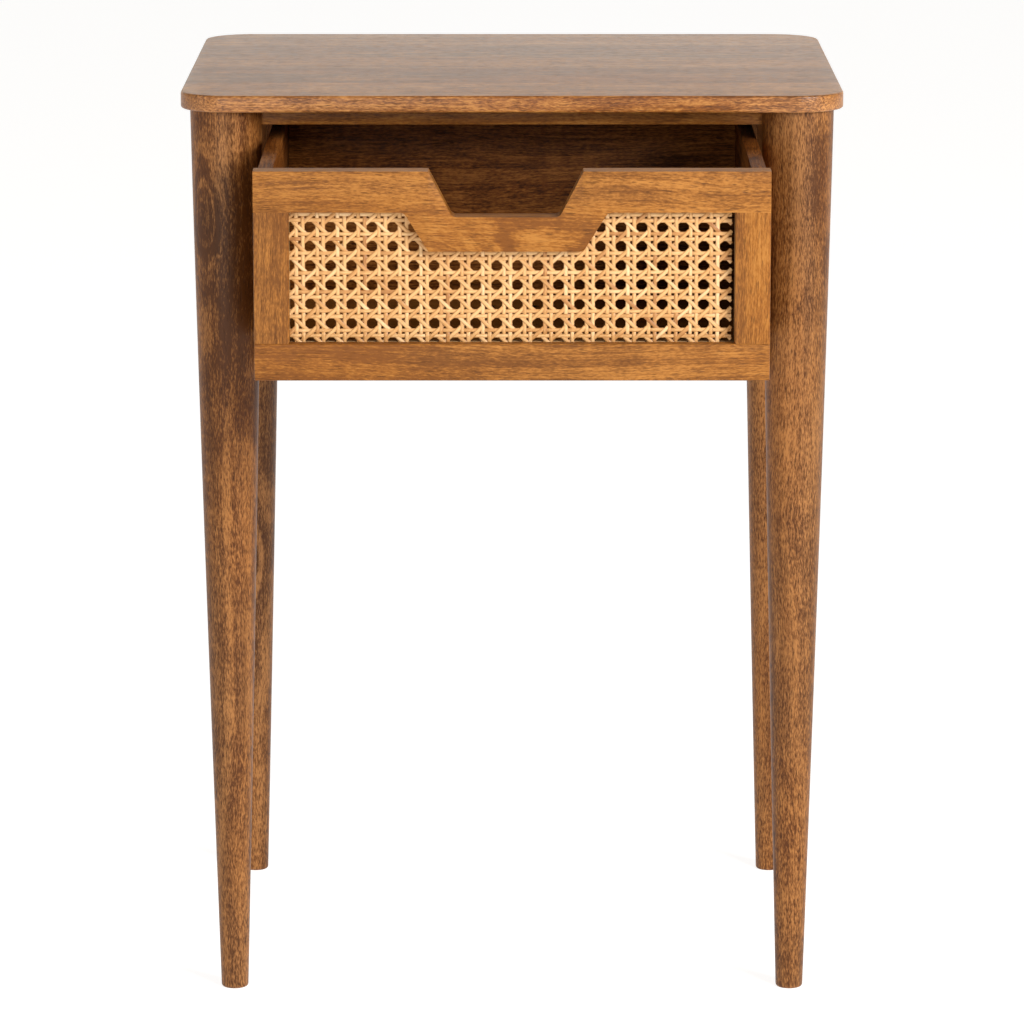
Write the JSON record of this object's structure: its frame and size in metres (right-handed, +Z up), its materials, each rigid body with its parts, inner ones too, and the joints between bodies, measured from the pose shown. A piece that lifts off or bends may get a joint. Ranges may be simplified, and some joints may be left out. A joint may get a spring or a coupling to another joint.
{
  "type": "nightstand",
  "caption": "Small wooden nightstand on turned tapered legs, with a drawer that slides out and has a woven cane front and a cut-in handle dip.",
  "frame": {"origin": "on the floor, under the middle of the whole outline with the drawer drawn as at rest; the middle of the slab is 68.5 mm behind it", "axes": "+X to the right, +Y to the back, +Z up; the drawer opens towards -Y"},
  "size_m": [0.45, 0.517, 0.63],
  "materials": {
    "top_wood": "satin oiled mango wood, boards along the width",
    "case_wood": "satin lacquered mango wood, brown",
    "front_wood": "satin lacquered mango wood, honey brown",
    "drawer_wood": "oiled mango wood, brown",
    "inner_wood": "planed, plain",
    "cane": "woven natural cane, dull sheen",
    "screw_steel": "zinc plated"
  },
  "bodies": {
    "case": {"top": "top_wood", "leg_front_left": "case_wood", "leg_front_right": "case_wood", "leg_back_left": "case_wood", "leg_back_right": "case_wood", "front_top_rail": "case_wood", "front_bottom_rail": "case_wood", "side_panel_left": "case_wood", "side_panel_right": "case_wood", "back_panel": "case_wood", "runner_left": "inner_wood", "runner_right": "inner_wood", "guide_left": "inner_wood", "guide_right": "inner_wood", "kicker_left": "inner_wood", "kicker_right": "inner_wood", "closing_stops": "inner_wood", "leg_dowels": "inner_wood", "top_screws": "screw_steel", "guide_screws": "screw_steel"},
    "drawer": {"drawer_top_rail": "front_wood", "drawer_bottom_rail": "front_wood", "drawer_stile_left": "front_wood", "drawer_stile_right": "front_wood", "cane_panel": "cane", "cane_bead_left": "inner_wood", "cane_bead_right": "inner_wood", "cane_bead_bottom": "inner_wood", "cane_staples": "screw_steel", "drawer_side_left": "drawer_wood", "drawer_side_right": "drawer_wood", "drawer_back": "drawer_wood", "drawer_bottom": "drawer_wood", "pull_stop": "inner_wood", "pull_stop_screws": "screw_steel"}
  },
  "joints": [
    {"name": "drawer_slide", "type": "slide", "parent": "case", "child": "drawer", "axis": [0, -1, 0], "range_m": [-0.1645, 0.0295]}
  ]
}
